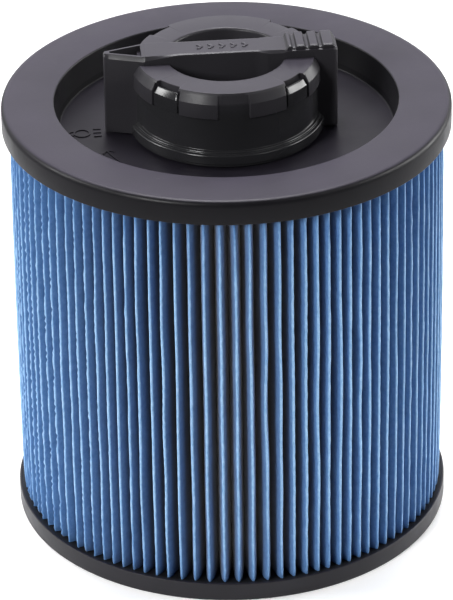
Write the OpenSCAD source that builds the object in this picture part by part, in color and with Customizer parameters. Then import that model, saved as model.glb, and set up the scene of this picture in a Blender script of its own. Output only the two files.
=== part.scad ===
// Pleated cartridge filter with a twist-lock handle, for a wet and dry dust extractor.
// Origin: axis of the cartridge, on the face of the open end that it stands on.
// +Z runs towards the handle, and the handle's pointer lies towards -X at rest.

/* [Cartridge] */
// Outer diameter of the closed end cap
cap_d = 200; // [196:0.2:204]
// Height of the cap's top face above the standing face
cap_top = 202; // [190:0.1:210]
// Depth of the cap's outer skirt
cap_skirt_h = 11; // [8:0.1:12]
// Wall thickness of the cap
cap_wall = 2.5; // [2:0.1:3]
// Outer diameter of the open end ring
ring_d = 197.4; // [196:0.2:204]
// Height of the open end ring's lip
ring_lip_h = 8.6; // [7:0.1:11]
// Bore of the seal that slides over the machine's filter cage
cage_bore_d = 130; // [126:0.5:132]

/* [Pleats] */
// Diameter over the outer folds
media_d = 194.4; // [188:0.1:194.6]
// Diameter inside the inner folds
media_inner_d = 159.4; // [158.6:0.1:162]
// Number of pleats
pleat_count = 104; // [80:1:116]
// Width of a fold's flat
fold_w = 1.5; // [1.2:0.1:1.8]
// Radial thickness of the sheet at a fold
fold_t = 1.5; // [1:0.1:2]

/* [Well] */
// Diameter of the well at its rim
well_d = 152.8; // [150:0.1:153]
// Diameter of the well at its floor
well_floor_d = 149.4; // [148:0.1:150]
// Depth of the well
well_depth = 14.2; // [12:0.1:15]
// Bore that the drum's spigot turns in
neck_bore_d = 72; // [68:0.1:74]
// Length of the neck below the well's floor
neck_h = 13; // [10:0.5:15]

/* [Turret] */
// Diameter of the drum's wall
drum_d = 81.4; // [80:0.1:82]
// Height of the turret's flat top above the well's floor
turret_h = 35.2; // [34:0.1:36]
// Diameter of the flat top
turret_top_d = 78.6; // [77:0.1:79]
// Diameter over the skirt's pads
pad_d = 83.6; // [83:0.1:84]
// Diameter of the finger dish
dish_d = 52; // [48:0.5:54]
// Diameter of the drum's foot
foot_d = 87.2; // [86.4:0.1:88]

/* [Handle] */
// Width of the bar
bar_w = 16; // [15:0.1:17]
// Height of the bar's top above the turret's flat top
bar_rise = 4; // [3.5:0.1:4.5]
// Reach of the pointer's tip from the axis
pointer_reach = 54; // [52:0.1:56]
// Reach of the grip's end from the axis
grip_reach = 49; // [48.5:0.1:50]
// Number of grooves across the grip pad
groove_count = 3; // [2:1:4]

/* [Lock] */
// Bore of the bayonet socket
socket_bore_d = 40; // [36:0.5:42]
// Depth of the bayonet socket below its flange
socket_h = 21; // [18:0.5:24]
// Number of screws that hold the socket
screw_count = 4; // [3:1:6]

/* [Hidden] */
$fn = 96;
hair = 0.1; // running gap between the turret and the cap
poke = 1; // how far a cut runs past the face that it opens

cap_r = cap_d / 2;
well_r = well_d / 2;
well_floor_r = well_floor_d / 2;
floor_top = cap_top - well_depth;
floor_under = floor_top - cap_wall;
neck_r = neck_bore_d / 2;
neck_wall = 3;
neck_end = floor_under - neck_h;
edge_r = 3; // round of the cap's outer edge
rim_round = 1.2; // round of the well's rim

ring_r = ring_d / 2;
ring_floor = 2.4;
lip_wall = 1.2;
seal_r = cage_bore_d / 2;
seal_wall = 2;
collar_r = seal_r + seal_wall; // inside of the ring's collar
collar_wall = 2.6;
collar_h = 12;

cap_potting_low = cap_top - cap_skirt_h - 0.6;
ring_potting_top = 8.2;
media_h = cap_potting_low - ring_potting_top;
pleat = 360 / pleat_count;

cage_r = well_floor_r + cap_wall + 0.4;
cage_wall = 2.5;
cage_columns = 24;
cage_rows = 6;
cage_rib = 4; // width of the cage's upright ribs
cage_hoop = 5; // height of the cage's hoops

mark_h = 0.4; // how far the marks stand off the floor
mark_stroke = 0.8;
lock_mark_r = 64.5;
arc_mark_r = 57.8;
locked_angle = 181;
turn_range = 90;

drum_r = drum_d / 2;
drum_wall = 2.5;
foot_r = foot_d / 2;
foot_z = floor_top + 1.1;
turret_top = floor_top + turret_h;
turret_top_r = turret_top_d / 2;
pad_r = pad_d / 2;
pad_low = turret_top - 11;
pad_high = turret_top - 4.5;
skirt_r = drum_r + 0.1; // inside of the skirt, on the drum's wall
dish_r = dish_d / 2;
dish_floor = turret_top - 9.5;
cap_skin = 2.5; // thickness of the turret's top
rim_z = pad_high - 0.5; // top of the drum's wall
notch_angles = [0, 180];
window_angles = [45, 135, 225, 315];
notch_w = 17; // angle that a notch takes up
window_w = 20; // angle that a window takes up
tab_r = pad_r - 0.3;

spigot_r = neck_r - 0.06;
spigot_wall = 4;
spigot_end = neck_end - 1;
seal_groove_z = floor_top - 2;
oring_r = 1.3;
boss_r = 3.8;
screw_pitch_r = 28.4;
screw_r = 1.6;
screw_depth = 11;
head_r = 2.9;
head_h = 2.2;

flange_r = 39.4;
flange_t = 3;
flange_low = spigot_end - flange_t;
socket_r = socket_bore_d / 2;
socket_wall = 4.5;
socket_low = flange_low - socket_h;
bayonet_depth = 3; // how far the bayonet's slots cut into the wall
bayonet_w = 22; // angle that an entry slot takes up
mouth_h = 10; // plain wall between the mouth and the turning groove
groove_h = 6;

bar_half = bar_w / 2;
bar_top = turret_top + bar_rise;
bar_left = -36.5;
bar_right = 26;
arm_inner_r = pad_r + 0.1;
arm_low = floor_top + 1.1;
arm_slot_gap = 0.2;
pointer_tip_half = 2.4;
pointer_wall = 2;
pointer_top = bar_top - 0.3;
pad_left = 24.6;
pad_rise = 1.9;
groove_w = 2.2;
groove_depth = 1.1;
groove_pitch = 5.8;

function polar(r, a) = [r * cos(a), r * sin(a)];

// Points of a rounded corner in a turned profile, from angle a to angle b.
function corner(cx, cy, r, a, b) = [for (i = [0 : 4]) [cx, cy] + polar(r, a + (b - a) * i / 4)];

module tube(r_out, r_in, low, high) {
    translate([0, 0, low])
        difference() {
            cylinder(r = r_out, h = high - low);
            translate([0, 0, -poke])
                cylinder(r = r_in, h = high - low + 2 * poke);
        }
}

// A pie slice of the given angle, centred on azimuth a, for cutting round parts.
module sector(r, a, w, low, high) {
    translate([0, 0, low])
        linear_extrude(high - low)
            polygon([[0, 0], polar(r / cos(w / 2), a - w / 2), polar(r / cos(w / 2), a + w / 2)]);
}

// ---- Cartridge ----

module closed_end_cap() {
    color("#303034")
        rotate_extrude()
            polygon(concat(
                [
                    [neck_r, neck_end],
                    [neck_r + neck_wall, neck_end],
                    [neck_r + neck_wall, floor_under],
                    [well_floor_r + cap_wall, floor_under],
                    [well_r + cap_wall, cap_top - cap_wall],
                    [cap_r - cap_wall, cap_top - cap_wall],
                    [cap_r - cap_wall, cap_top - cap_skirt_h],
                    [cap_r, cap_top - cap_skirt_h]
                ],
                corner(cap_r - edge_r, cap_top - edge_r, edge_r, 0, 90),
                corner(well_r + rim_round, cap_top - rim_round, rim_round, 90, 180),
                [
                    [well_floor_r, floor_top],
                    [neck_r, floor_top]
                ]
            ));
}

// A plain padlock outline at azimuth a, with its shackle moved sideways by shift.
module padlock(a, shift) {
    body_out = 3.8;
    shackle_out = 2.1;
    rotate([0, 0, a])
        translate([lock_mark_r, 0, 0]) {
            tube(body_out, body_out - mark_stroke, 0, mark_h);
            translate([body_out + 0.6, shift, 0])
                difference() {
                    tube(shackle_out, shackle_out - mark_stroke, 0, mark_h);
                    translate([-2 * shackle_out, -shackle_out, -poke])
                        cube([2 * shackle_out - 0.9, 2 * shackle_out, 2 * poke]);
                }
        }
}

// Raised marks on the floor of the well: locked, unlocked and the way between them.
module position_marks() {
    arc_start = 199;
    arc_span = 54;
    tick_l = 3.4;
    barb_l = 4;
    color("#3a3a3e")
        translate([0, 0, floor_top]) {
            padlock(locked_angle, 0);
            padlock(locked_angle + turn_range, 2.4);
            for (i = [-1 : 1])
                rotate([0, 0, locked_angle + 3.4 * i])
                    translate([arc_mark_r - tick_l / 2, -mark_stroke / 2, 0])
                        cube([tick_l, mark_stroke, mark_h]);
            intersection() {
                tube(arc_mark_r + mark_stroke / 2, arc_mark_r - mark_stroke / 2, 0, mark_h);
                sector(2 * arc_mark_r, arc_start + arc_span / 2, arc_span, -poke, 2 * poke);
            }
            for (side = [-1, 1])
                rotate([0, 0, arc_start])
                    translate([arc_mark_r, 0, 0])
                        rotate([0, 0, 90 + side * 45])
                            translate([-mark_stroke / 2, -mark_stroke / 2, 0])
                                cube([barb_l, mark_stroke, mark_h]);
        }
}

module closed_end_potting() {
    color("#c9bd8a")
        tube(cap_r - cap_wall, well_r + cap_wall + 0.1, cap_potting_low, cap_top - cap_wall);
}

module pleated_media() {
    r_out = media_d / 2;
    r_in = media_inner_d / 2;
    tip_out = fold_w / 2 / r_out * 180 / PI;
    tip_in = fold_w / 2 / r_in * 180 / PI;
    outer = [for (i = [0 : pleat_count - 1]) each [
        polar(r_out, i * pleat - tip_out),
        polar(r_out, i * pleat + tip_out),
        polar(r_in + fold_t, (i + 0.5) * pleat)
    ]];
    inner = [for (i = [0 : pleat_count - 1]) each [
        polar(r_out - fold_t, i * pleat),
        polar(r_in, (i + 0.5) * pleat - tip_in),
        polar(r_in, (i + 0.5) * pleat + tip_in)
    ]];
    n = len(outer);
    color("#4f82c8")
        translate([0, 0, ring_potting_top])
            linear_extrude(media_h)
                polygon(
                    concat(outer, inner),
                    paths = [[for (i = [0 : n - 1]) i], [for (i = [0 : n - 1]) n + i]]
                );
}

// The bonded joint between the sheet's two ends, in a valley at the back.
module media_seam_strip() {
    strip_t = 1.2;
    strip_in = media_inner_d / 2 + 8;
    strip_out = media_d / 2 - 1.5;
    seam = pleat * (floor(pleat_count / 4) + 0.5);
    color("#35567f")
        rotate([0, 0, seam])
            translate([strip_in, -strip_t / 2, ring_potting_top])
                cube([strip_out - strip_in, strip_t, media_h]);
}

module support_cage() {
    low = ring_potting_top;
    span = floor_under - low;
    cell_h = (span - cage_hoop) / cage_rows;
    cell_w = 2 * PI * (cage_r - cage_wall) / cage_columns - cage_rib;
    color("#2a2a2d")
        difference() {
            tube(cage_r, cage_r - cage_wall, low, floor_under);
            for (column = [0 : cage_columns / 2 - 1], row = [0 : cage_rows - 1])
                rotate([0, 0, (column + 0.5) * 360 / cage_columns])
                    translate([-cage_r - poke, -cell_w / 2, low + cage_hoop + row * cell_h])
                        cube([2 * (cage_r + poke), cell_w, cell_h - cage_hoop]);
        }
}

module open_end_potting() {
    color("#1c1c1f")
        tube(ring_r - lip_wall, collar_r + collar_wall, ring_floor, ring_potting_top);
}

module open_end_ring() {
    lip_round = 0.5;
    color("#303034")
        rotate_extrude()
            polygon(concat(
                [
                    [collar_r, 0],
                    [ring_r - 0.6, 0],
                    [ring_r, 0.6]
                ],
                corner(ring_r - lip_round, ring_lip_h - lip_round, lip_round, 0, 90),
                [
                    [ring_r - lip_wall, ring_lip_h],
                    [ring_r - lip_wall, ring_floor],
                    [collar_r + collar_wall, ring_floor],
                    [collar_r + collar_wall, collar_h],
                    [collar_r, collar_h]
                ]
            ));
}

// Rubber sleeve with a rim that sits on the collar's end.
module seal_ring() {
    color("#161618") {
        tube(collar_r, seal_r, 1, collar_h);
        tube(collar_r + collar_wall, seal_r, collar_h, collar_h + 1.5);
    }
}

// ---- Turret and handle ----

// Where the two arms pass the drum's foot.
module arm_slots() {
    for (side = [-1, 1])
        translate([side * (arm_inner_r + foot_r) / 2, 0, foot_z + 5])
            cube([foot_r - arm_inner_r + 3, bar_w + 2 * arm_slot_gap, 14], center = true);
}

module drum_shell() {
    rotate_extrude()
        polygon([
            [spigot_r - spigot_wall, spigot_end],
            [spigot_r, spigot_end],
            [spigot_r, seal_groove_z - oring_r],
            [spigot_r - 2 * oring_r, seal_groove_z - oring_r],
            [spigot_r - 2 * oring_r, seal_groove_z + oring_r],
            [spigot_r, seal_groove_z + oring_r],
            [spigot_r, foot_z],
            [foot_r - 0.9, foot_z],
            [foot_r - 0.9, foot_z + 1.1],
            [foot_r, foot_z + 1.4],
            [foot_r, foot_z + 5.2],
            [foot_r - 0.6, foot_z + 5.8],
            [foot_r - 1.7, foot_z + 5.9],
            [foot_r - 1.8, foot_z + 6.4],
            [foot_r - 2.1, foot_z + 6.7],
            [drum_r, foot_z + 6.8],
            [drum_r, rim_z],
            [drum_r - drum_wall, rim_z],
            [drum_r - drum_wall, foot_z + 2.5],
            [spigot_r - spigot_wall, foot_z + 2.5]
        ]);
}

// One bevelled snap tab, standing up behind a window of the turret's top.
module snap_tab(a) {
    tab_w = window_w - 1.4;
    intersection() {
        rotate_extrude()
            polygon([
                [drum_r - drum_wall, pad_low + 1],
                [drum_r, pad_low + 1],
                [drum_r, pad_low + 0.2],
                [tab_r, pad_low + 0.2],
                [tab_r, pad_high - 0.8],
                [tab_r - 2.2, pad_high + 1.8],
                [drum_r - drum_wall, pad_high + 1.8]
            ]);
        sector(2 * pad_r, a, tab_w, pad_low, turret_top);
    }
}

module screw_holes(r, low, high) {
    for (i = [0 : screw_count - 1])
        rotate([0, 0, (i + 0.5) * 360 / screw_count])
            translate([screw_pitch_r, 0, low])
                cylinder(r = r, h = high - low, $fn = 32);
}

module turret_drum() {
    color("#2b2b2e") {
        difference() {
            union() {
                drum_shell();
                screw_holes(boss_r, spigot_end, foot_z + 2.5);
            }
            screw_holes(screw_r, spigot_end - poke, spigot_end + screw_depth);
            arm_slots();
        }
        for (a = window_angles)
            snap_tab(a);
    }
}

// Plan of the open pocket inside the pointer.
module pointer_pocket_plan() {
    polygon([
        [bar_left - 1.2, bar_half - pointer_wall - 0.5],
        [bar_left - 1.2, -bar_half + pointer_wall + 0.5],
        [2.6 - pointer_reach, -0.8],
        [2.6 - pointer_reach, 0.8]
    ]);
}

module handle_cap() {
    color("#333337")
        difference() {
            rotate_extrude()
                polygon([
                    [0, dish_floor - 2],
                    [dish_r + 2, dish_floor - 2],
                    [dish_r + 2, turret_top - cap_skin],
                    [drum_r - drum_wall - 0.1, turret_top - cap_skin],
                    [drum_r - drum_wall - 0.1, pad_high + 0.2],
                    [skirt_r, pad_high],
                    [skirt_r, pad_low],
                    [pad_r - 0.3, pad_low],
                    [pad_r, pad_low + 0.3],
                    [pad_r, pad_high - 0.2],
                    [turret_top_r + 0.2, turret_top - 0.3],
                    [turret_top_r - 0.4, turret_top],
                    [dish_r + 1, turret_top],
                    [dish_r, turret_top - 1],
                    [dish_r, dish_floor],
                    [0, dish_floor]
                ]);
            for (a = notch_angles)
                difference() {
                    sector(2 * pad_r, a + 90, notch_w, pad_low - poke, turret_top + poke);
                    cylinder(r = turret_top_r + 0.1, h = 2 * turret_top, center = false);
                }
            for (a = window_angles)
                difference() {
                    sector(2 * pad_r, a, window_w, pad_low - poke, turret_top + poke);
                    cylinder(r = drum_r - drum_wall - 0.3, h = 2 * turret_top, center = false);
                }
            translate([0, 0, turret_top - cap_skin - 2])
                linear_extrude(10)
                    pointer_pocket_plan();
        }
}

// Raised marks of a plain, generic kind on the bar's top.
module bar_marks() {
    for (i = [-2 : 2])
        translate([i * 5 - 1.5, 0, bar_top])
            linear_extrude(0.4)
                polygon([[-1.6, -2], [0, -2], [1.6, 0], [0, 2], [-1.6, 2], [0, 0]]);
}

module handle_bar() {
    waist = 1.2;
    color("#36363a") {
        translate([0, 0, turret_top])
            linear_extrude(bar_rise)
                polygon([
                    [bar_left, -bar_half],
                    [-28, -bar_half],
                    [-20, waist - bar_half],
                    [14, waist - bar_half],
                    [19, -bar_half],
                    [bar_right, -bar_half],
                    [bar_right, bar_half],
                    [19, bar_half],
                    [14, bar_half - waist],
                    [-20, bar_half - waist],
                    [-28, bar_half],
                    [bar_left, bar_half]
                ]);
        intersection() {
            cylinder(r = dish_r - 0.1, h = 2 * turret_top);
            translate([-dish_r, waist - bar_half, dish_floor])
                cube([2 * dish_r, bar_w - 2 * waist, turret_top - dish_floor]);
        }
        bar_marks();
    }
}

module pointer_arm() {
    color("#323236")
        difference() {
            translate([0, 0, arm_low])
                linear_extrude(pointer_top - arm_low)
                    polygon([
                        [bar_left, bar_half],
                        [bar_left, -bar_half],
                        [-pointer_reach, -pointer_tip_half],
                        [-pointer_reach, pointer_tip_half]
                    ]);
            translate([0, 0, arm_low - poke])
                cylinder(r = arm_inner_r, h = turret_top - arm_low + poke);
            translate([0, 0, arm_low + 12])
                linear_extrude(bar_top)
                    pointer_pocket_plan();
        }
}

module grip_arm() {
    color("#323236")
        difference() {
            intersection() {
                translate([bar_right, -bar_half, arm_low])
                    cube([grip_reach - bar_right, bar_w, bar_top - arm_low]);
                cylinder(r = grip_reach, h = 2 * turret_top);
            }
            translate([0, 0, arm_low - poke])
                cylinder(r = arm_inner_r, h = turret_top - arm_low + poke);
        }
}

// Ribbed pad on the arm's top, with grooves across it.
module grip_pad() {
    pad_end = grip_reach - 1;
    color("#3a3a3f")
        difference() {
            intersection() {
                translate([bar_right, -bar_half + 0.4, bar_top])
                    cube([pad_end - bar_right, bar_w - 0.8, pad_rise]);
                cylinder(r = pad_end, h = 2 * turret_top);
            }
            for (i = [0 : groove_count - 1])
                translate([pad_left + 4 + i * groove_pitch, -bar_w, bar_top + pad_rise - groove_depth])
                    cube([groove_w, 2 * bar_w, 2 * groove_depth]);
        }
}

module upper_thrust_washer() {
    color("#8d8d88")
        tube(foot_r - 4, neck_r + 1, floor_top + hair, foot_z);
}

module shaft_seal() {
    color("#151515")
        translate([0, 0, seal_groove_z])
            rotate_extrude()
                translate([neck_r - 0.15 - oring_r, 0])
                    circle(r = oring_r, $fn = 24);
}

module lower_thrust_washer() {
    color("#8d8d88")
        tube(neck_r + neck_wall, spigot_r + 0.1, spigot_end, neck_end - hair);
}

// Blind bayonet socket: two entry slots lead to a groove in which the mating ears turn.
module lock_socket() {
    color("#232326")
        difference() {
            union() {
                translate([0, 0, socket_low])
                    cylinder(r = socket_r + socket_wall, h = socket_h);
                translate([0, 0, flange_low])
                    cylinder(r = flange_r, h = flange_t);
            }
            translate([0, 0, socket_low - poke])
                cylinder(r = socket_r, h = socket_h + poke);
            translate([0, 0, socket_low + mouth_h])
                cylinder(r = socket_r + bayonet_depth, h = groove_h);
            for (a = [0, 180])
                intersection() {
                    translate([0, 0, socket_low - poke])
                        cylinder(r = socket_r + bayonet_depth, h = mouth_h + 2 * poke);
                    sector(2 * socket_r, a, bayonet_w, socket_low - poke, socket_low + mouth_h + poke);
                }
            screw_holes(screw_r + 0.3, flange_low - poke, spigot_end + poke);
        }
}

module socket_screws() {
    slot_w = 0.9;
    color("#b5b7ba")
        for (i = [0 : screw_count - 1])
            rotate([0, 0, (i + 0.5) * 360 / screw_count])
                translate([screw_pitch_r, 0, 0])
                    difference() {
                        union() {
                            translate([0, 0, flange_low])
                                cylinder(r = screw_r, h = flange_t + screw_depth - 1, $fn = 32);
                            translate([0, 0, flange_low - head_h])
                                cylinder(r = head_r, h = head_h, $fn = 32);
                        }
                        for (turn = [0, 90])
                            rotate([0, 0, turn])
                                translate([-head_r * 0.6, -slot_w / 2, flange_low - head_h - poke])
                                    cube([head_r * 1.2, slot_w, poke + head_h / 2]);
                    }
}

closed_end_cap();
position_marks();
closed_end_potting();
pleated_media();
media_seam_strip();
support_cage();
open_end_potting();
open_end_ring();
seal_ring();
turret_drum();
handle_cap();
handle_bar();
pointer_arm();
grip_arm();
grip_pad();
upper_thrust_washer();
shaft_seal();
lower_thrust_washer();
lock_socket();
socket_screws();
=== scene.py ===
"""Looks of a pleated cartridge filter with a twist-lock handle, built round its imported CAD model.

Lengths in this file are millimetres, in the CAD frame, until a mesh is made: z = 0 is the standing
face, the handle lies along X with its pointer towards -X, and the camera looks roughly along +Y.
Angles called azimuth are measured from -Y (towards the camera), positive towards +X.
"""

import math
import random

import bmesh
import bpy
import numpy as np
from mathutils import Matrix, Vector


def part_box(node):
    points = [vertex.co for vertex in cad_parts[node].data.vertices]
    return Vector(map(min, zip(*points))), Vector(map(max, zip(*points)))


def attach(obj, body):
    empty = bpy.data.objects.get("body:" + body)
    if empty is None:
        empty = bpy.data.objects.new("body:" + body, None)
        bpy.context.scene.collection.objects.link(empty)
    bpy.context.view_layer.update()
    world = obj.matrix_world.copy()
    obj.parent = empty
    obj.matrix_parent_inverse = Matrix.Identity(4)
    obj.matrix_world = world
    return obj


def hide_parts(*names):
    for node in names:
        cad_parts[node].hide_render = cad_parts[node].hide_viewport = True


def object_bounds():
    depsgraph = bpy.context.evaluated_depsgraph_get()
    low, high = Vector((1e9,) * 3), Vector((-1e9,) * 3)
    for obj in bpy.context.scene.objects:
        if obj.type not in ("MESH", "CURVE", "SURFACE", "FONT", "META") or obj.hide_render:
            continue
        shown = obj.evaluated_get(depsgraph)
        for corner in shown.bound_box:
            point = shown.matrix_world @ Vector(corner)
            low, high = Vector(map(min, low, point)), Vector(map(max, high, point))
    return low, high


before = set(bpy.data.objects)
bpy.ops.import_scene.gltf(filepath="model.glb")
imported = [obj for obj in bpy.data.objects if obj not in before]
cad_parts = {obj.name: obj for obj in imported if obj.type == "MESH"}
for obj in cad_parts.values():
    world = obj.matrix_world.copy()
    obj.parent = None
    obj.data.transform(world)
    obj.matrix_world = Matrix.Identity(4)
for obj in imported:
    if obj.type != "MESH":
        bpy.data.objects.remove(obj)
CAD_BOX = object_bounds()

MM = 0.001
CARTRIDGE = "cartridge"
TURRET = "turret"


def box_mm(node):
    """Lowest and highest corner of a CAD node, in millimetres."""
    low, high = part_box(node)
    return np.array(low) / MM, np.array(high) / MM


CAP_LOW, CAP_HIGH = box_mm("closed_end_cap")
RING_LOW, RING_HIGH = box_mm("open_end_ring")
MEDIA_LOW, MEDIA_HIGH = box_mm("pleated_media")
DRUM_LOW, DRUM_HIGH = box_mm("turret_drum")
BAR_LOW, BAR_HIGH = box_mm("handle_bar")
TOP_LOW, TOP_HIGH = box_mm("handle_cap")
POINTER_LOW, POINTER_HIGH = box_mm("pointer_arm")
GRIP_LOW, GRIP_HIGH = box_mm("grip_arm")
PAD_LOW, PAD_HIGH = box_mm("grip_pad")
MARKS_LOW, MARKS_HIGH = box_mm("position_marks")
POTTING_LOW, POTTING_HIGH = box_mm("open_end_potting")

# Sizes that the boxes tell.
CAP_R = CAP_HIGH[0]
CAP_TOP = CAP_HIGH[2]
FLOOR_Z = MARKS_LOW[2]  # floor of the well
RING_R = RING_HIGH[0]
FOOT_R = DRUM_HIGH[1]
FOOT_Z = POINTER_LOW[2]
TURRET_TOP = TOP_HIGH[2]
PAD_R = TOP_HIGH[0]  # outside of the skirt's pads
PAD_Z = TOP_LOW[2]
DISH_Z = BAR_LOW[2]
BAR_TOP = GRIP_HIGH[2]

# Sizes of the CAD model that no box tells.
SKIRT_H = 11.0
CAP_WALL = 2.5
CAP_EDGE = 3.0
WELL_R = 76.4
WELL_FLOOR_R = 74.7
NECK_R = 36.0
NECK_WALL = 3.0
LIP_H = 8.6
LIP_WALL = 1.2
COLLAR_R = 67.0
COLLAR_WALL = 2.6
MEDIA_R_IN = 79.7
PLEATS = 104
DRUM_R = 40.7
DRUM_WALL = 2.5
SPIGOT_R = 35.94
SPIGOT_WALL = 4.0
TURRET_TOP_R = 39.3
DISH_R = 26.0


# ---- Mesh helpers ----

def new_piece(name, verts, faces, material, body, replaced, smooth_angle=35):
    """A mesh from millimetre points, smooth but for edges sharper than smooth_angle, set in the frame."""
    mesh = bpy.data.meshes.new(name)
    mesh.from_pydata((np.asarray(verts, float) * MM).tolist(), [], faces)
    bm = bmesh.new()
    bm.from_mesh(mesh)
    bmesh.ops.remove_doubles(bm, verts=bm.verts, dist=1e-7)
    bmesh.ops.recalc_face_normals(bm, faces=bm.faces)
    bm.to_mesh(mesh)
    bm.free()
    mesh.shade_smooth()
    mesh.set_sharp_from_angle(angle=math.radians(smooth_angle))
    mesh.materials.append(material)
    piece = bpy.data.objects.new(name, mesh)
    bpy.context.scene.collection.objects.link(piece)
    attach(piece, body)
    if replaced:
        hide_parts(*replaced)


def fillet(corners, steps=5):
    """Points of a closed outline whose corners (x, y, radius) are rounded by arcs of steps + 1 points."""
    points = []
    n = len(corners)
    for i in range(n):
        p = Vector(corners[i][:2])
        radius = corners[i][2]
        if radius <= 0:
            points.append(tuple(p))
            continue
        back = Vector(corners[i - 1][:2]) - p
        ahead = Vector(corners[(i + 1) % n][:2]) - p
        half = back.angle(ahead) / 2
        reach = min(radius / math.tan(half), 0.49 * back.length, 0.49 * ahead.length)
        start = p + back.normalized() * reach
        end = p + ahead.normalized() * reach
        for k in range(steps + 1):
            t = k / steps
            points.append(tuple(start.lerp(p, t).lerp(p.lerp(end, t), t)))
    return np.array(points)


def loop_faces(rings, count, closed=True):
    """Quads that join rings of count points each, the last ring to the first if closed."""
    faces = []
    for i in range(rings if closed else rings - 1):
        a = i * count
        b = ((i + 1) % rings) * count
        for j in range(count):
            k = (j + 1) % count
            faces.append((a + j, b + j, b + k, a + k))
    return faces


def lathe(profile_at, segments):
    """Vertices and faces of a turned solid. profile_at(azimuth in degrees) gives its closed profile."""
    verts = []
    count = 0
    for i in range(segments):
        azimuth = 360.0 * i / segments
        profile = profile_at(azimuth)
        count = len(profile)
        a = math.radians(azimuth)
        x, y = math.sin(a), -math.cos(a)
        verts.append(np.column_stack([profile[:, 0] * x, profile[:, 0] * y, profile[:, 1]]))
    return np.concatenate(verts), loop_faces(segments, count)


def loft(rings):
    """Vertices and faces of a closed solid through rings of equally many points."""
    count = len(rings[0])
    verts = np.concatenate(rings)
    faces = loop_faces(len(rings), count, closed=False)
    faces.append(tuple(range(count)))
    faces.append(tuple(reversed(range(len(verts) - count, len(verts)))))
    return verts, faces


def join(parts):
    """One mesh out of a list of (vertices, faces)."""
    verts, faces = [], []
    start = 0
    for part_verts, part_faces in parts:
        verts.append(part_verts)
        faces += [tuple(start + v for v in face) for face in part_faces]
        start += len(part_verts)
    return np.concatenate(verts), faces


def apart(a, b):
    """Smallest difference between azimuths in degrees, signed; a may be an array."""
    return (a - b + 180) % 360 - 180


def smooth(x):
    """Eases from 0 to 1, flat at both ends."""
    x = np.clip(x, 0, 1)
    return x * x * (3 - 2 * x)


# ---- Materials ----

class Nodes:
    """Short way to add and link shader nodes."""

    def __init__(self, name):
        self.material = bpy.data.materials.new(name)
        self.material.use_nodes = True
        self.tree = self.material.node_tree
        self.shader = self.tree.nodes["Principled BSDF"]
        self.coords = self.add("ShaderNodeTexCoord").outputs["Object"]

    def add(self, kind, **inputs):
        node = self.tree.nodes.new(kind)
        for key, value in inputs.items():
            name = key.replace("_", " ")
            if isinstance(value, bpy.types.NodeSocket):
                self.tree.links.new(value, node.inputs[name])
            elif name in node.inputs:
                node.inputs[name].default_value = value
            else:
                setattr(node, key, value)
        return node

    def link(self, source, target):
        self.tree.links.new(source, target)

    def noise(self, scale, detail=3.0, roughness=0.55, vector=None):
        node = self.add("ShaderNodeTexNoise", Scale=scale, Detail=detail, Roughness=roughness)
        self.link(vector or self.coords, node.inputs["Vector"])
        return node.outputs["Fac"]

    def stretch(self, scale):
        node = self.add("ShaderNodeMapping")
        node.inputs["Scale"].default_value = scale
        self.link(self.coords, node.inputs["Vector"])
        return node.outputs["Vector"]

    def ramp(self, factor, stops):
        node = self.add("ShaderNodeValToRGB")
        ramp = node.color_ramp
        while len(ramp.elements) < len(stops):
            ramp.elements.new(0.5)
        for element, (position, colour) in zip(ramp.elements, stops):
            element.position = position
            element.color = (*colour, 1) if isinstance(colour, tuple) else (colour, colour, colour, 1)
        self.link(factor, node.inputs["Fac"])
        return node.outputs["Color"]

    def mix(self, factor, a, b, blend="MIX"):
        node = self.tree.nodes.new("ShaderNodeMix")
        node.data_type = "RGBA"
        node.blend_type = blend
        for value, socket in ((factor, node.inputs[0]), (a, node.inputs[6]), (b, node.inputs[7])):
            if isinstance(value, bpy.types.NodeSocket):
                self.link(value, socket)
            else:
                socket.default_value = value
        return node.outputs[2]

    def math(self, operation, a, b=0.0):
        node = self.tree.nodes.new("ShaderNodeMath")
        node.operation = operation
        for value, socket in ((a, node.inputs[0]), (b, node.inputs[1])):
            if isinstance(value, bpy.types.NodeSocket):
                self.link(value, socket)
            else:
                socket.default_value = value
        return node.outputs[0]

    def bump(self, layers):
        """Chains (height, distance in mm, strength) layers into the shader's normal."""
        normal = None
        for height, distance, strength in layers:
            node = self.add("ShaderNodeBump", Strength=strength, Distance=distance * MM)
            self.link(height, node.inputs["Height"])
            if normal:
                self.link(normal, node.inputs["Normal"])
            normal = node.outputs["Normal"]
        self.link(normal, self.shader.inputs["Normal"])

    def set(self, **values):
        for key, value in values.items():
            socket = self.shader.inputs[key.replace("_", " ")]
            if isinstance(value, bpy.types.NodeSocket):
                self.link(value, socket)
            else:
                socket.default_value = value
        return self.material


# Colour of the film on upward faces: dust, and a painted sheen that lightens the tops.
DUST_AND_SHEEN = (0.068, 0.058, 0.088, 1)
SCUFF = (0.12, 0.12, 0.125, 1)


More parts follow.
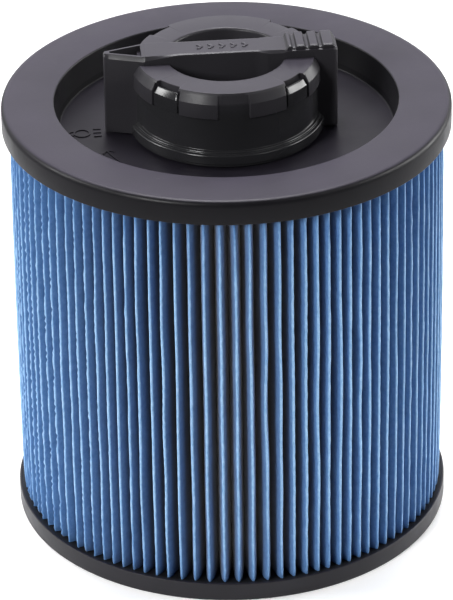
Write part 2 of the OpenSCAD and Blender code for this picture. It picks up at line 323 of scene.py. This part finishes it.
def moulded_plastic(name, dark, light, rough, grain, ior, dust_and_sheen=0.0, scuffs=0.0, dimmer_below=0.0):
    """Black moulded plastic: spark-eroded grain, uneven sheen, a film of dust and painted sheen on faces
    that look up, which lightens the tops, and faint pale scuffs. Below the height given by its last
    argument it is duller and carries less of that film."""
    n = Nodes(name)
    cloud = n.noise(18, 4)
    fine = n.noise(1900, 2, 0.6)
    colour = n.ramp(cloud, [(0.3, dark), (0.75, light)])
    if dust_and_sheen:
        facing = n.add("ShaderNodeSeparateXYZ", Vector=n.add("ShaderNodeNewGeometry").outputs["Normal"])
        # The film is dust and a painted sheen: it lightens the faces that look up, as the lights above
        # would.
        film = n.ramp(facing.outputs["Z"], [(0.75, 0.0), (0.98, 1.0)])
        patchy = n.math("MULTIPLY", film, n.ramp(n.noise(45, 5), [(0.3, dust_and_sheen * 0.75), (0.7, dust_and_sheen)]))
        if dimmer_below:
            share_below, gloss_below, gloss = 0.34, 0.32, 0.5
            place = n.add("ShaderNodeSeparateXYZ", Vector=n.coords)
            above = n.math("GREATER_THAN", place.outputs["Z"], dimmer_below * MM)
            share = n.math("ADD", share_below, n.math("MULTIPLY", above, 1 - share_below))
            patchy = n.math("MULTIPLY", patchy, share)
            extra = n.math("MULTIPLY", above, gloss - gloss_below)
            n.set(Specular_IOR_Level=n.math("ADD", gloss_below, extra))
        colour = n.mix(patchy, colour, DUST_AND_SHEEN)
    if scuffs:
        streaks = n.noise(60, 6, 0.7, n.stretch((1, 3.5, 2)))
        scuff = n.ramp(streaks, [(0.67, 0.0), (0.73, 1.0)])
        colour = n.mix(n.math("MULTIPLY", scuff, scuffs), colour, SCUFF)
    sheen = n.ramp(n.noise(90, 3), [(0.3, rough - 0.05), (0.7, rough + 0.06)])
    n.bump([(fine, grain, 0.5), (n.noise(420, 2), grain * 1.6, 0.25)])
    return n.set(Base_Color=colour, Roughness=sheen, IOR=ior)


def cast_glue(name, dark, light, rough):
    """Poured adhesive: soft swells and small bubbles."""
    n = Nodes(name)
    swell = n.noise(140, 2)
    bubbles = n.noise(900, 2)
    n.bump([(swell, 0.5, 0.6), (bubbles, 0.1, 0.5)])
    return n.set(Base_Color=n.ramp(swell, [(0.3, dark), (0.7, light)]), Roughness=rough)


def moulded_rubber(name):
    """Black rubber, dull and slightly bloomed."""
    n = Nodes(name)
    cloud = n.noise(60, 4)
    n.bump([(n.noise(1500, 2), 0.04, 0.6)])
    colour = n.ramp(cloud, [(0.3, (0.012, 0.012, 0.013)), (0.7, (0.025, 0.025, 0.026))])
    return n.set(Base_Color=colour, Roughness=n.ramp(cloud, [(0.3, 0.62), (0.7, 0.75)]))


def natural_acetal(name):
    """Off-white bearing plastic."""
    n = Nodes(name)
    cloud = n.noise(200, 3)
    n.bump([(n.noise(1200, 2), 0.02, 0.5)])
    colour = n.ramp(cloud, [(0.3, (0.42, 0.42, 0.39)), (0.7, (0.56, 0.55, 0.51))])
    return n.set(Base_Color=colour, Roughness=0.38)


def zinc_steel(name):
    """Zinc plated steel, with fine marks along the height."""
    n = Nodes(name)
    cloud = n.noise(700, 3)
    n.bump([(n.noise(2500, 2, 0.6, n.stretch((1, 1, 8))), 0.01, 0.5)])
    colour = n.ramp(cloud, [(0.3, (0.5, 0.51, 0.53)), (0.7, (0.68, 0.68, 0.68))])
    return n.set(Base_Color=colour, Roughness=n.ramp(cloud, [(0.3, 0.25), (0.7, 0.42)]), Metallic=1.0)


def pleated_cloth(name, r_out):
    """Blue spunbond sheet: paler on the folds' crests as a painted highlight and darker deep in the
    valleys as painted shade, mottled with fibres, slightly fuzzy.
    """
    n = Nodes(name)
    place = n.add("ShaderNodeSeparateXYZ", Vector=n.coords)
    radius = n.math("SQRT", n.math("ADD",
        n.math("MULTIPLY", place.outputs["X"], place.outputs["X"]),
        n.math("MULTIPLY", place.outputs["Y"], place.outputs["Y"])))
    depth = n.math("MULTIPLY", n.math("SUBTRACT", r_out * MM, radius), 1 / MM)
    # Painted highlight: the paler colour on the folds' crests.
    crest = n.ramp(n.math("DIVIDE", depth, 5.0), [(0.0, 1.0), (0.09, 0.85), (0.2, 0.15), (1.0, 0.0)])
    fibres = n.noise(700, 5, 0.65, n.stretch((1, 1, 0.55)))
    blotch = n.noise(110, 3)
    flank = n.ramp(fibres, [(0.3, (0.030, 0.115, 0.32)), (0.7, (0.060, 0.18, 0.44))])
    flank = n.mix(n.ramp(blotch, [(0.35, 0.0), (0.75, 0.35)]), flank, (0.075, 0.22, 0.46, 1))
    # Paler colour of the crests' painted highlight.
    pale = n.ramp(fibres, [(0.3, (0.19, 0.38, 0.64)), (0.7, (0.36, 0.56, 0.78))])
    # Painted shade: the flanks darken with depth into the valleys.
    shade = n.ramp(n.math("DIVIDE", depth, 12.0), [(0.0, 1.0), (0.24, 0.78), (0.55, 0.25), (0.95, 0.03)])
    colour = n.mix(crest, n.mix(1.0, flank, shade, "MULTIPLY"), pale)
    n.bump([(fibres, 0.12, 0.55), (n.noise(2600, 3), 0.05, 0.4)])
    return n.set(Base_Color=colour, Roughness=0.82, Sheen_Weight=0.25, Sheen_Roughness=0.5,
                 Specular_IOR_Level=0.25)


BLACK = moulded_plastic("black_plastic", (0.005, 0.0047, 0.006), (0.008, 0.0075, 0.0095), rough=0.38,
                        grain=0.03, ior=1.26, dust_and_sheen=0.45, scuffs=0.22, dimmer_below=FLOOR_Z + 3)
RING = moulded_plastic("ring_plastic", (0.011, 0.010, 0.013), (0.016, 0.015, 0.019), rough=0.38,
                       grain=0.03, ior=1.34, dust_and_sheen=0.10)
HANDLE = moulded_plastic("handle_plastic", (0.021, 0.020, 0.023), (0.028, 0.027, 0.031), rough=0.34,
                         grain=0.02, ior=1.29, dust_and_sheen=0.27)
SMOOTH = moulded_plastic("smooth_plastic", (0.013, 0.013, 0.014), (0.018, 0.018, 0.020), rough=0.17,
                         grain=0.002, ior=1.5)
AMBER = cast_glue("amber_glue", (0.42, 0.36, 0.20), (0.55, 0.48, 0.28), 0.45)
SEAM = cast_glue("seam_glue", (0.05, 0.13, 0.30), (0.08, 0.20, 0.42), 0.4)
GLUE = cast_glue("black_glue", (0.006, 0.006, 0.007), (0.014, 0.014, 0.015), 0.5)
RUBBER = moulded_rubber("black_rubber")
ACETAL = natural_acetal("natural_acetal")
ZINC = zinc_steel("zinc_steel")
CLOTH = pleated_cloth("pleated_cloth", MEDIA_HIGH[0])


# ---- Cartridge ----

def make_cap():
    """Flange with its skirt, the sunk well and the neck under the well's floor."""
    under = FLOOR_Z - CAP_WALL
    profile = fillet([
        (NECK_R, CAP_LOW[2], 0.4),
        (NECK_R + NECK_WALL, CAP_LOW[2], 0.4),
        (NECK_R + NECK_WALL, under, 1.0),
        (WELL_FLOOR_R + CAP_WALL, under, 0.8),
        (WELL_R + CAP_WALL, CAP_TOP - CAP_WALL, 0.6),
        (CAP_R - CAP_WALL, CAP_TOP - CAP_WALL, 0.9),
        (CAP_R - CAP_WALL, CAP_TOP - SKIRT_H, 0.3),
        (CAP_R, CAP_TOP - SKIRT_H, 0.35),
        (CAP_R, CAP_TOP, CAP_EDGE),
        (WELL_R, CAP_TOP, 0.9),
        (WELL_FLOOR_R, FLOOR_Z, 0.9),
        (NECK_R, FLOOR_Z, 0.3),
    ], 6)
    verts, faces = lathe(lambda azimuth: profile, 360)
    new_piece("cap_shell", verts, faces, BLACK, CARTRIDGE, ["closed_end_cap"])


def make_ring():
    """Open end ring: a trough between the outer lip and the collar that holds the seal."""
    profile = fillet([
        (COLLAR_R, 0, 0.3),
        (RING_R, 0, 0.7),
        (RING_R, LIP_H, 0.4),
        (RING_R - LIP_WALL, LIP_H, 0.3),
        (RING_R - LIP_WALL, POTTING_LOW[2], 0.3),
        (COLLAR_R + COLLAR_WALL, POTTING_LOW[2], 0.3),
        (COLLAR_R + COLLAR_WALL, RING_HIGH[2], 0.4),
        (COLLAR_R, RING_HIGH[2], 0.4),
    ], 5)
    verts, faces = lathe(lambda azimuth: profile, 360)
    new_piece("ring_shell", verts, faces, RING, CARTRIDGE, ["open_end_ring"])


def make_glue():
    """Black adhesive in the open end ring, drawn up a little at both walls."""
    low, high = POTTING_LOW[2], POTTING_HIGH[2]
    r_in, r_out = COLLAR_R + COLLAR_WALL, RING_R - LIP_WALL
    steps = 24
    top = []
    for i in range(steps + 1):
        t = i / steps
        edge = min(t, 1 - t)
        top.append((r_out + (r_in - r_out) * t, high - 0.5 * smooth(edge / 0.12)))
    profile = np.array([(r_in, low), (r_out, low)] + top)
    verts, faces = lathe(lambda azimuth: profile, 240)
    new_piece("glue_bed", verts, faces, GLUE, CARTRIDGE, ["open_end_potting"])


def pleat_azimuths():
    """Azimuths of the crests in radians: bunched left of the front and opened out right of it."""
    rng = random.Random(11)
    crests = []
    for i in range(PLEATS):
        u = math.tau * i / PLEATS
        near_front = math.radians(apart(math.degrees(u), 0))
        bunch = 0.026 * math.sin(4.6 * near_front + 0.15) * math.exp(-(near_front / 0.75) ** 2)
        slow = 0.006 * math.sin(3 * u + 1.0) + 0.004 * math.sin(7 * u + 2.0)
        crests.append(u + bunch + slow + rng.uniform(-0.0028, 0.0028))
    return np.array(crests)


def make_media():
    """The pleated sheet: one closed zigzag wall, nearly straight, with tight folds."""
    count = PLEATS
    thick = 0.72
    tight = 0.09  # bend on the hollow side of a fold
    valley_bend = 0.42
    levels = 110
    r_out, r_in = MEDIA_HIGH[0], MEDIA_R_IN
    low, high = MEDIA_LOW[2], MEDIA_HIGH[2]
    crest = pleat_azimuths()
    following = np.append(crest[1:], crest[0] + math.tau)
    valley = (crest + following) / 2
    rng = np.random.default_rng(7)
    z = np.linspace(low, high, levels)
    span = (z - low) / (high - low)
    hold = np.clip(np.sin(math.pi * span), 0, 1) ** 0.4

    def waver(amplitude, waves):
        """Smooth random offsets, one row of levels for each pleat."""
        total = np.zeros((count, levels))
        for wave in waves:
            phase = rng.uniform(0, math.tau, (count, 1))
            size = rng.normal(0, amplitude / math.sqrt(len(waves)), (count, 1))
            total += size * np.sin(math.tau * z[None, :] / wave + phase)
        return total

    # Offsets of each pleat along its height: sway and crinkle go sideways, sunk and dent inwards.
    crumpled_at, crumpled_width = 296, 17
    dimpled = np.exp(-(apart(np.degrees(crest), crumpled_at) / crumpled_width) ** 2)[:, None]
    lean = rng.normal(0, 0.16, (count, 1))
    sway = waver(0.20, (170, 95, 55)) * hold + lean * hold
    crinkle = waver(0.05, (11, 7.0, 4.6)) * (1 + 2.5 * dimpled)
    sunk = np.abs(waver(0.12, (60, 25)))
    dent = dimpled * np.clip(np.abs(waver(1.3, (10, 6.2))) - 0.45, 0, 1.3)
    ends = 0.9 * (1 - hold)
    fold = 0.27 * (1 + waver(0.14, (90, 40)))

    turns_out = np.radians(np.arange(-90, 91, 30))
    turns_in = np.radians(np.arange(-90, 91, 60))
    flank_steps = (0.22, 0.5, 0.78)
    outer, inner = [], []
    for i in range(count):
        j = (i + 1) % count
        tip = r_out - 0.12 - sunk[i] - dent[i] - ends
        for turn in turns_out:
            for shell, bend in ((outer, fold[i] + thick / 2), (inner, tight)):
                radius = tip - (fold[i] + thick / 2) + bend * math.cos(turn)
                side = bend * math.sin(turn) + sway[i] + crinkle[i]
                shell.append((radius, crest[i] + side / r_out))
        for half, k, near in ((1, i, crest[i]), (-1, j, following[i])):
            steps = flank_steps if half == 1 else flank_steps[::-1]
            for t in steps:
                radius = r_out + (r_in - r_out) * t
                centre = near + (valley[i] - near) * t
                follow = (1 - t) * (sway[k] + crinkle[k] * (1 - t))
                spare = half * (fold[k] + thick / 2) * (1 - t) * 0.55
                sag = half * 0.25 * math.sin(math.pi * t)
                for shell, sign in ((outer, 1), (inner, -1)):
                    side = follow + spare + sag + half * sign * thick * 0.5
                    shell.append((np.full(levels, radius), centre + side / radius))
            if half == 1:
                for turn in turns_in:
                    for shell, bend in ((outer, tight), (inner, valley_bend + thick / 2)):
                        radius = r_in + valley_bend + thick / 2 - bend * math.cos(turn)
                        side = bend * math.sin(turn)
                        azimuth = valley[i] + side / r_in
                        shell.append((np.full(levels, radius), np.full(levels, azimuth)))

    def to_points(shell):
        """Points of a shell's columns, each a (radius, azimuth) pair along the height."""
        r = np.array([point[0] for point in shell])
        a = np.array([point[1] for point in shell])
        return np.stack([r * np.sin(a), -r * np.cos(a), np.broadcast_to(z, r.shape)], -1)

    # One ring of points per column: up the outer face, then down the inner face.
    columns = np.concatenate([to_points(outer), to_points(inner)[:, ::-1]], axis=1)
    faces = loop_faces(len(outer), 2 * levels)
    new_piece("media_sheet", columns.reshape(-1, 3), faces, CLOTH, CARTRIDGE,
              ["pleated_media"], 80)


# ---- Turret ----

WINDOW_AZIMUTHS = (45, 135, 225, 315)
NOTCH_AZIMUTHS = (0, 180)


def mask(azimuth, centres, half, soft):
    """1 inside the spans of the given half-angle round each centre, 0 outside, blended over soft."""
    near = min(abs(apart(azimuth, c)) for c in centres)
    return smooth((np.asarray(half) + soft / 2 - near) / soft)


def make_top():
    """Flat top with its bevelled, castellated skirt and the finger dish."""
    top, low = TURRET_TOP, PAD_Z
    bevel_z = top - 4.6

    def outline(skirt, bevel_low, bevel_high, rim, round_up):
        return fillet([
            (0.0, DISH_Z - 2, 0),
            (DISH_R + 2, DISH_Z - 2, 0.8),
            (DISH_R + 2, top - 2.5, 0.4),
            (skirt - 3.0, top - 2.5, 0.3),
            (skirt - 1.0, bevel_z - 0.5, 0.3),
            (skirt - 0.9, low, 0.2),
            (skirt, low, 0.25),
            (bevel_low, bevel_z, 0.5),
            (bevel_high, top - 0.9, 0.5),
            (rim, top, round_up),
            (DISH_R, top, 1.6),
            (DISH_R - 0.6, DISH_Z, 3.0),
            (0.0, DISH_Z - 0.2, 0),
        ], 6)

    pad = outline(PAD_R, PAD_R - 0.1, 39.9, TURRET_TOP_R, 0.3)
    notch = outline(40.4, 40.6, 39.75, TURRET_TOP_R, 0.3)
    window = outline(37.6, 37.7, 37.7, 37.7, 0.3)
    height = np.clip((pad[:, 1] - bevel_z) / (top - bevel_z), 0, 1)

    def profile_at(azimuth):
        n = mask(azimuth, NOTCH_AZIMUTHS, 9.6 - 3.2 * height, 0.9)
        w = mask(azimuth, WINDOW_AZIMUTHS, 10.2 - 1.6 * height, 0.9)
        shape = pad + (notch - pad) * n[:, None]
        return shape + (window - shape) * w[:, None]

    verts, faces = lathe(profile_at, 1440)
    new_piece("turret_top", verts, faces, HANDLE, TURRET, ["handle_cap"], 50)


def make_drum():
    """Wall with its stepped foot, spigot and the four snap tabs that show in the windows."""
    rim = TURRET_TOP - 5.0
    web = FOOT_Z + 2.5

    def outline(foot):
        step = (foot - DRUM_R) / (FOOT_R - DRUM_R)
        return fillet([
            (SPIGOT_R - SPIGOT_WALL, DRUM_LOW[2], 0.3),
            (SPIGOT_R, DRUM_LOW[2], 0.3),
            (SPIGOT_R, FOOT_Z, 0.2),
            (DRUM_R + 2.0 * step, FOOT_Z, 0.3 * step),
            (DRUM_R + 2.0 * step, FOOT_Z + 1.2, 0.3 * step),
            (DRUM_R + 2.9 * step, FOOT_Z + 1.5, 0.3 * step),
            (DRUM_R + 2.9 * step, FOOT_Z + 5.7, 0.7 * step),
            (DRUM_R + 1.4 * step, FOOT_Z + 5.9, 0.2 * step),
            (DRUM_R + 1.2 * step, FOOT_Z + 6.8, 0.5 * step),
            (DRUM_R, FOOT_Z + 7.0, 0.3),
            (DRUM_R, rim, 0.4),
            (DRUM_R - DRUM_WALL, rim, 0.3),
            (DRUM_R - DRUM_WALL, web, 0.5),
            (SPIGOT_R - SPIGOT_WALL, web, 0.3),
        ], 5)

    full, slotted = outline(FOOT_R), outline(DRUM_R + 0.4)

    def profile_at(azimuth):
        s = mask(azimuth, (90, 270), 11.0, 0.6)
        return full + (slotted - full) * float(s)

    tab = fillet([
        (DRUM_R - DRUM_WALL + 0.3, PAD_Z + 1, 0.2),
        (PAD_R - 0.4, PAD_Z + 0.4, 0.2),
        (PAD_R - 0.4, TURRET_TOP - 5.0, 0.4),
        (PAD_R - 2.0, TURRET_TOP - 2.2, 0.5),
        (DRUM_R - DRUM_WALL + 0.3, TURRET_TOP - 2.4, 0.4),
    ], 4)
    parts = [lathe(profile_at, 720)]
    centre = tab.mean(axis=0)
    steps = 36
    half = 9.3
    end_inset = 0.0625
    corner_drop = 1.4
    for where in WINDOW_AZIMUTHS:
        rings = []
        for i in range(steps + 1):
            off_centre = 2 * i / steps - 1
            a = math.radians(where + half * off_centre)
            shape = tab + (centre - tab) * (end_inset if i in (0, steps) else 0.0)
            high = np.clip((shape[:, 1] - (TURRET_TOP - 5)) / 2.8, 0, 1)
            r = shape[:, 0]
            z = shape[:, 1] - high * corner_drop * smooth((abs(off_centre) - 0.86) / 0.14)
            rings.append(np.column_stack([r * math.sin(a), -r * math.cos(a), z]))
        parts.append(loft(rings))
    verts, faces = join(parts)
    new_piece("drum_wall", verts, faces, SMOOTH, TURRET, ["turret_drum"], 50)


# ---- Handle ----

def handle_section(w, top, low, edge, slope, drop, channel, depth):
    """Points (y, z) round the handle's section: half-width w, with an optional channel in its top.

    The top's outer edge slopes down by drop over slope; channel is the half-width of the slot.
    """
    slope = min(slope, w - 0.8)
    channel = min(channel, w - slope - 0.25)
    half = fillet([
        (0.0, low, 0),
        (-w, low, edge * 0.6),
        (-w, top - drop, edge),
        (-w + slope, top, edge * 0.7),
        (-channel, top, 0),
        (-channel, top - depth, 0),
        (0.0, top - depth, 0),
    ], 4)
    back = half[::-1][1:-1] * np.array([-1, 1])
    return np.concatenate([half, back])


def lerp_table(x, table):
    """Linear interpolation in rows of (x, value)."""
    return float(np.interp(x, [row[0] for row in table], [row[1] for row in table]))


def make_handle():
    """Bar, hollow pointer and grip arm in one lofted shell."""
    tip, base, end = POINTER_LOW[0], BAR_LOW[0], GRIP_HIGH[0]
    arm_low = POINTER_LOW[2]
    over_top = TURRET_TOP - 0.1
    in_dish = DISH_Z - 0.1
    pocket_left, pocket_right, pocket_depth = tip + 2.8, base - 1.0, 26.0
    arm_in = 39.0
    wide, slim = 8.0, 6.9
    wall = 2.0
    step = 0.06  # a jump in a table is spread over this length
    # Rows of (x, value): half-width, top, fall of the top's outer edge, underside, pocket depth.
    width = [(tip, 1.5), (tip + 0.15, 2.0), (tip + 0.5, 2.4), (base, wide), (-28, wide), (-21, slim),
             (13, slim), (18, wide - 0.1), (end - 1.6, wide), (end - 0.6, wide - 0.4),
             (end - 0.15, slim), (end, 6.2)]
    top = [(tip, BAR_TOP - 0.9), (tip + 0.6, BAR_TOP - 0.3), (base, BAR_TOP - 0.3),
           (base + 0.4, BAR_TOP), (end - 1.2, BAR_TOP), (end - 0.3, BAR_TOP - 0.5), (end, BAR_TOP - 1.2)]
    drop = [(tip, 0.5), (tip + 1, 2.0), (base, 2.0), (-28, 0.7), (-21, 0.35), (13, 0.35), (19, 1.3),
            (25, 1.3), (27, 0.4), (end, 0.4)]
    low = [(tip, arm_low), (-arm_in, arm_low), (-arm_in + step, over_top), (-DISH_R, over_top),
           (-DISH_R + step, in_dish), (DISH_R - step, in_dish), (DISH_R, over_top),
           (arm_in - step, over_top), (arm_in, arm_low), (end, arm_low)]
    depth = [(pocket_left - step, 0.0), (pocket_left, pocket_depth), (pocket_right, pocket_depth),
             (pocket_right + step, 0.0)]
    marks = sorted({row[0] for table in (width, top, drop, low, depth) for row in table})
    marks = sorted(set(marks) | set(np.arange(tip + 1, end - 1, 1.5)))
    rings = []
    for x in marks:
        w = lerp_table(x, width)
        d = lerp_table(x, drop)
        t = lerp_table(x, top)
        slot = max(w - wall - 0.4, 0.35)
        deep = min(lerp_table(x, depth), t - lerp_table(x, low) - 1.0)
        slope = 1.3 if x < base else 1.2
        section = handle_section(w, t, lerp_table(x, low), 0.45, slope, d, slot, deep)
        rings.append(np.column_stack([np.full(len(section), x), section]))
    verts, faces = loft(rings)
    new_piece("handle_shell", verts, faces, HANDLE, TURRET,
              ["handle_bar", "pointer_arm", "grip_arm"], 40)


def make_grip_pad():
    """Ribbed pad: its top falls into three grooves, and its ends and sides are rounded."""
    left, right = PAD_LOW[0], PAD_HIGH[0]
    low, high = BAR_TOP - 0.3, PAD_HIGH[2]
    half = PAD_HIGH[1]
    grooves = [PAD_LOW[0] + 2.6 + 5.8 * i + 1.1 for i in range(3)]
    xs = np.unique(np.round(np.concatenate([np.arange(left, right, 0.2), [right]]), 3))
    rings = []
    for x in xs:
        away = min(abs(x - g) for g in grooves)
        groove = 1.0 - smooth((away - 0.55) / 0.75)
        ends = smooth((x - left) / 1.4) * math.sqrt(max(0.0, min(1.0, (right - x) / 1.2)))
        top = low + 0.35 + (high - low - 0.35) * ends * (1 - 0.62 * groove)
        w = half - 0.5 * groove - 0.6 * (1 - min(1.0, (right - x) / 0.8))
        section = handle_section(w, top, low, 0.5, 1.1, 0.45, 1.0, 0.0)
        rings.append(np.column_stack([np.full(len(section), x), section]))
    verts, faces = loft(rings)
    new_piece("ribbed_grip", verts, faces, HANDLE, TURRET, ["grip_pad"], 40)


def make_chevrons():
    """Five plain raised chevrons on the bar."""
    arm, point, edge = 2, 1.6, 0.25
    plan = fillet([(-point, -arm, edge), (0, -arm, edge), (point, 0, edge), (0, arm, edge),
                   (-point, arm, edge), (0, 0, edge)], 3)
    low, high = BAR_TOP - 0.1, BAR_TOP + 0.38
    pitch, shift = 5, -1.5
    parts = []
    for i in range(-2, 3):
        rings = []
        for z, grow in ((low, 1.0), (high - 0.1, 1.0), (high, 0.9)):
            x = i * pitch + shift + plan[:, 0] * grow
            rings.append(np.column_stack([x, plan[:, 1] * grow, np.full(len(plan), z)]))
        parts.append(loft(rings))
    verts, faces = join(parts)
    new_piece("bar_chevrons", verts, faces, HANDLE, TURRET, [], 40)


def paint(node, material):
    """Gives a CAD node that is shown as it is its material."""
    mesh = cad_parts[node].data
    mesh.materials.clear()
    mesh.materials.append(material)


make_cap()
make_ring()
make_glue()
make_media()
make_top()
make_drum()
make_handle()
make_grip_pad()
make_chevrons()
paint("position_marks", BLACK)
paint("closed_end_potting", AMBER)
paint("media_seam_strip", SEAM)
paint("support_cage", SMOOTH)
paint("seal_ring", RUBBER)
paint("upper_thrust_washer", ACETAL)
paint("lower_thrust_washer", ACETAL)
paint("shaft_seal", RUBBER)
paint("lock_socket", SMOOTH)
paint("socket_screws", ZINC)


# ---- Stage ----

def make_floor():
    """Pale floor with a painted pool of light: lightest, and glowing, in an oval round the part and
    behind it, greyer outside it.
    """
    n = Nodes("studio_floor")
    n.bump([(n.noise(3, 2), 0.2, 0.1)])
    pool_y, half_x, half_y = 0.28, 0.46, 0.80
    pool = n.add("ShaderNodeMapping")
    pool.inputs["Location"].default_value = (0, -pool_y / half_y, 0)
    pool.inputs["Scale"].default_value = (1 / half_x, 1 / half_y, 1)
    n.link(n.coords, pool.inputs["Vector"])
    reach = n.add("ShaderNodeTexGradient", gradient_type="SPHERICAL", Vector=pool.outputs["Vector"])
    # Painted pool of light: inside the oval the floor's colour is paler and it glows.
    lit = n.ramp(reach.outputs["Fac"], [(0.0, 0.0), (0.50, 1.0)])
    pale = n.ramp(n.noise(1.5, 2), [(0.3, 0.93), (0.7, 0.95)])
    material = n.set(Base_Color=n.mix(lit, (0.48, 0.48, 0.49, 1), pale), Roughness=0.7,
                     Emission_Color=(1, 1, 1, 1), Emission_Strength=n.math("MULTIPLY", lit, 0.17))
    size = 6.0
    mesh = bpy.data.meshes.new("studio_floor")
    corners = [(-size, -size, 0), (size, -size, 0), (size, size, 0), (-size, size, 0)]
    mesh.from_pydata(corners, [], [(0, 1, 2, 3)])
    mesh.materials.append(material)
    floor = bpy.data.objects.new("studio_floor", mesh)
    floor.location.z = CAD_BOX[0].z - 0.2 * MM
    bpy.context.scene.collection.objects.link(floor)


def area_light(name, place, aim, size, power, spread):
    """Rectangular lamp at place, in metres, pointed at aim; size is width and height."""
    light = bpy.data.lights.new(name, "AREA")
    light.shape = "RECTANGLE"
    light.size, light.size_y = size
    light.energy = power
    light.spread = math.radians(spread)
    lamp = bpy.data.objects.new(name, light)
    lamp.location = place
    lamp.rotation_euler = (Vector(aim) - Vector(place)).to_track_quat("-Z", "Y").to_euler()
    bpy.context.scene.collection.objects.link(lamp)


def make_lights():
    """A bright backdrop, a dim front, and soft boxes on the left, the right and above."""
    world = bpy.data.worlds.new("studio")
    world.use_nodes = True
    tree = world.node_tree
    background = tree.nodes["Background"]
    coords = tree.nodes.new("ShaderNodeTexCoord")
    split = tree.nodes.new("ShaderNodeSeparateXYZ")
    ramp = tree.nodes.new("ShaderNodeValToRGB")
    front_to_back = [(0.0, 0.01), (0.42, 0.03), (0.62, 0.30), (0.80, 1.0)]
    while len(ramp.color_ramp.elements) < len(front_to_back):
        ramp.color_ramp.elements.new(0.5)
    for element, (position, value) in zip(ramp.color_ramp.elements, front_to_back):
        element.position = position
        element.color = (value, value, value * 1.03, 1)
    tree.links.new(coords.outputs["Generated"], split.inputs[0])
    shift = tree.nodes.new("ShaderNodeMapRange")
    shift.inputs["From Min"].default_value = -1
    tree.links.new(split.outputs["Y"], shift.inputs["Value"])
    tree.links.new(shift.outputs[0], ramp.inputs["Fac"])
    tree.links.new(ramp.outputs["Color"], background.inputs["Color"])
    background.inputs["Strength"].default_value = 1.38
    bpy.context.scene.world = world
    middle = (0, 0, 0.14)
    area_light("left_softbox", (-1.05, -1.15, 0.95), middle, (0.40, 0.50), 2.4, 60)
    area_light("left_wing", (-1.5, 0.1, 0.9), middle, (0.5, 0.9), 2.3, 60)
    area_light("right_softbox", (1.6, -0.15, 0.75), middle, (0.6, 0.9), 1.8, 60)
    area_light("right_wing", (1.5, 0.5, 0.35), middle, (0.8, 0.7), 1.9, 60)
    area_light("front_fill", (1.05, -1.0, 1.15), middle, (0.8, 0.8), 0.9, 90)
    area_light("top_softbox", (0.0, 0.6, 1.7), middle, (0.9, 0.6), 4.0, 60)


def make_camera():
    """Camera of the reference view: a long lens, about 29 degrees above the horizon."""
    distance, height = 1.6503, 1.0292
    turn, yaw, pitch, roll = math.radians(-4.7), -0.00075, 0.51353, -0.01524
    camera = bpy.data.cameras.new("camera")
    camera.sensor_width = 36
    camera.lens = 249.58
    camera.clip_end = 50
    obj = bpy.data.objects.new("camera", camera)
    forward = Vector((math.sin(yaw) * math.cos(pitch), math.cos(yaw) * math.cos(pitch), -math.sin(pitch)))
    right = forward.cross(Vector((0, 0, 1))).normalized()
    up = right.cross(forward)
    c, s = math.cos(roll), math.sin(roll)
    right, up = c * right + s * up, c * up - s * right
    axes = Matrix((right, up, -forward)).transposed().to_4x4()
    obj.matrix_world = Matrix.Rotation(turn, 4, "Z") @ Matrix.Translation((0, -distance, height)) @ axes
    bpy.context.scene.collection.objects.link(obj)
    bpy.context.scene.camera = obj


make_floor()
make_lights()
make_camera()
bpy.context.scene.view_settings.view_transform = "Standard"
